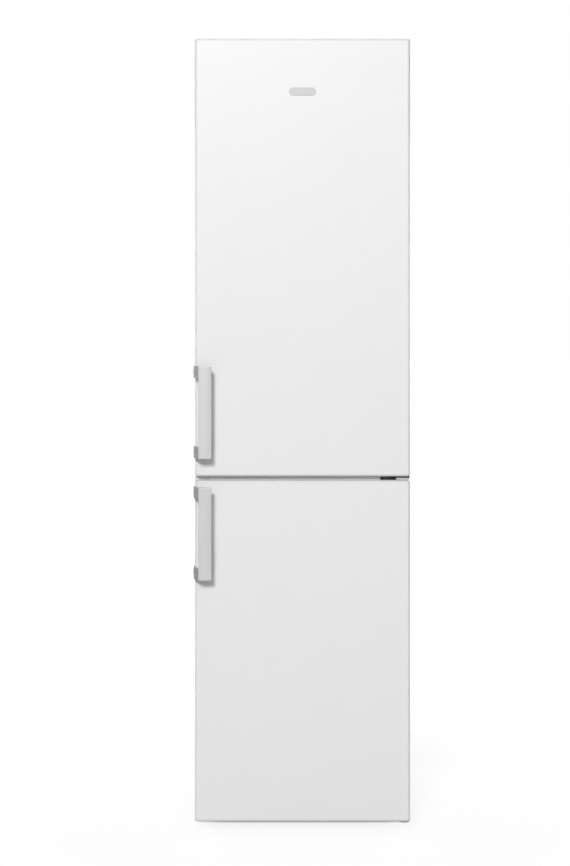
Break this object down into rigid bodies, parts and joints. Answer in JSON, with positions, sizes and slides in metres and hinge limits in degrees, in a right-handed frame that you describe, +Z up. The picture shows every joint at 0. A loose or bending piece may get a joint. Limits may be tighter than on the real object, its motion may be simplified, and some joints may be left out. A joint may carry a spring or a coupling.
{
  "type": "refrigerator",
  "caption": "Tall white free-standing refrigerator with a fridge door above a freezer door, side-mounted grips, shelves, bins, drawers and a rear condenser.",
  "frame": {"origin": "on the floor under the middle of the whole object", "axes": "+Z up, -Y out through the doors, +X towards the hinges"},
  "size_m": [0.5509, 0.64, 2.01],
  "materials": {
    "white_enamel": "gloss",
    "grey_zinc": "satin",
    "white_plastic": "satin",
    "grey_plastic": "satin",
    "dark_plastic": "matte",
    "clear_plastic": "gloss",
    "rigid_foam": "matte",
    "seal_rubber": "matte",
    "black_rubber": "matte",
    "clear_glass": "gloss",
    "black_enamel": "satin",
    "white_wire": "satin",
    "copper_pipe": "satin",
    "bright_aluminium": "satin"
  },
  "bodies": {
    "cabinet": {"back_panel": "grey_zinc", "base_pan": "grey_zinc", "bottom_hinge": "grey_zinc", "centre_rail": "white_enamel", "compressor": "black_enamel", "compressor_grommets": "black_rubber", "compressor_nuts": "grey_zinc", "condenser": "black_enamel", "condenser_brackets": "grey_plastic", "control_housing": "white_plastic", "drain_pan": "grey_plastic", "evaporators": "white_wire", "foam_insulation": "rigid_foam", "freezer_liner": "white_plastic", "fridge_liner": "white_plastic", "glass_shelves": "clear_glass", "hinge_screws": "grey_zinc", "hole_plugs": "white_plastic", "lamp": "clear_glass", "lamp_lens": "clear_plastic", "machine_rail": "grey_zinc", "middle_hinge": "grey_zinc", "outer_case": "white_enamel", "plinth": "white_plastic", "refrigerant_pipes": "copper_pipe", "relay_box": "dark_plastic", "shelf_trims": "white_plastic", "top_cover": "white_plastic", "top_hinge": "grey_zinc"},
    "fridge_door": {"fridge_door_caps": "white_plastic", "fridge_door_foam": "rigid_foam", "fridge_door_gasket": "seal_rubber", "fridge_door_liner": "white_plastic", "fridge_door_skin": "white_enamel", "fridge_handle_brackets": "grey_plastic", "fridge_handle_plate": "bright_aluminium", "fridge_handle_screws": "white_plastic", "dairy_bin": "white_plastic", "upper_bins": "clear_plastic", "bottle_bin": "clear_plastic"},
    "freezer_door": {"freezer_door_caps": "white_plastic", "freezer_door_foam": "rigid_foam", "freezer_door_gasket": "seal_rubber", "freezer_door_liner": "white_plastic", "freezer_door_skin": "white_enamel", "freezer_handle_brackets": "grey_plastic", "freezer_handle_plate": "bright_aluminium", "freezer_handle_screws": "white_plastic"},
    "dairy_lid": {"dairy_lid": "clear_plastic"},
    "crisper": {"crisper": "clear_plastic"},
    "light_switch": {"light_switch": "white_plastic"},
    "thermostat_knob": {"thermostat_knob": "white_plastic"},
    "left_foot": {"left_foot": "dark_plastic"},
    "right_foot": {"right_foot": "dark_plastic"},
    "left_roller": {"left_roller": "dark_plastic"},
    "right_roller": {"right_roller": "dark_plastic"},
    "freezer_drawer_1": {"freezer_drawer_1": "clear_plastic"},
    "freezer_drawer_2": {"freezer_drawer_2": "clear_plastic"},
    "freezer_drawer_3": {"freezer_drawer_3": "clear_plastic"},
    "freezer_drawer_4": {"freezer_drawer_4": "clear_plastic"}
  },
  "joints": [
    {"name": "fridge_door_hinge", "type": "hinge", "parent": "cabinet", "child": "fridge_door", "pos_m": [0.2585, -0.25, 1.4], "axis": [0, 0, 1], "range_deg": [0, 135]},
    {"name": "freezer_door_hinge", "type": "hinge", "parent": "cabinet", "child": "freezer_door", "pos_m": [0.2585, -0.25, 0.46], "axis": [0, 0, 1], "range_deg": [0, 135]},
    {"name": "crisper_slide", "type": "slide", "parent": "cabinet", "child": "crisper", "axis": [0, -1, 0], "range_m": [0, 0.236]},
    {"name": "freezer_drawer_1_slide", "type": "slide", "parent": "cabinet", "child": "freezer_drawer_1", "axis": [0, -1, 0], "range_m": [0, 0.201]},
    {"name": "freezer_drawer_2_slide", "type": "slide", "parent": "cabinet", "child": "freezer_drawer_2", "axis": [0, -1, 0], "range_m": [0, 0.201]},
    {"name": "freezer_drawer_3_slide", "type": "slide", "parent": "cabinet", "child": "freezer_drawer_3", "axis": [0, -1, 0], "range_m": [0, 0.201]},
    {"name": "freezer_drawer_4_slide", "type": "slide", "parent": "cabinet", "child": "freezer_drawer_4", "axis": [0, -1, 0], "range_m": [0, 0.13]},
    {"name": "light_switch_slide", "type": "slide", "parent": "cabinet", "child": "light_switch", "axis": [0, -1, 0], "range_m": [0, 0.006]},
    {"name": "thermostat_knob_turn", "type": "hinge", "parent": "cabinet", "child": "thermostat_knob", "pos_m": [-0.05, -0.2, 1.927], "axis": [0, -1, 0], "range_deg": [0, 270]},
    {"name": "dairy_lid_hinge", "type": "hinge", "parent": "fridge_door", "child": "dairy_lid", "pos_m": [0, -0.207, 1.7973], "axis": [1, 0, 0], "range_deg": [0, 80]},
    {"name": "left_foot_turn", "type": "hinge", "parent": "cabinet", "child": "left_foot", "pos_m": [-0.225, -0.115, 0.03], "axis": [0, 0, 1], "continuous": true},
    {"name": "left_roller_spin", "type": "hinge", "parent": "cabinet", "child": "left_roller", "pos_m": [-0.225, 0.24, 0.015], "axis": [1, 0, 0], "continuous": true},
    {"name": "right_foot_turn", "type": "hinge", "parent": "cabinet", "child": "right_foot", "pos_m": [0.225, -0.115, 0.03], "axis": [0, 0, 1], "continuous": true},
    {"name": "right_roller_spin", "type": "hinge", "parent": "cabinet", "child": "right_roller", "pos_m": [0.225, 0.24, 0.015], "axis": [1, 0, 0], "continuous": true}
  ],
  "couplings": [
    {"joint": "crisper_slide", "follows": "fridge_door_hinge", "m_per_rad": 0.1},
    {"joint": "freezer_drawer_1_slide", "follows": "freezer_door_hinge", "m_per_rad": 0.085},
    {"joint": "freezer_drawer_2_slide", "follows": "freezer_door_hinge", "m_per_rad": 0.085},
    {"joint": "freezer_drawer_3_slide", "follows": "freezer_door_hinge", "m_per_rad": 0.085},
    {"joint": "freezer_drawer_4_slide", "follows": "freezer_door_hinge", "m_per_rad": 0.055},
    {"joint": "light_switch_slide", "follows": "fridge_door_hinge", "m_per_rad": 0.0025}
  ]
}
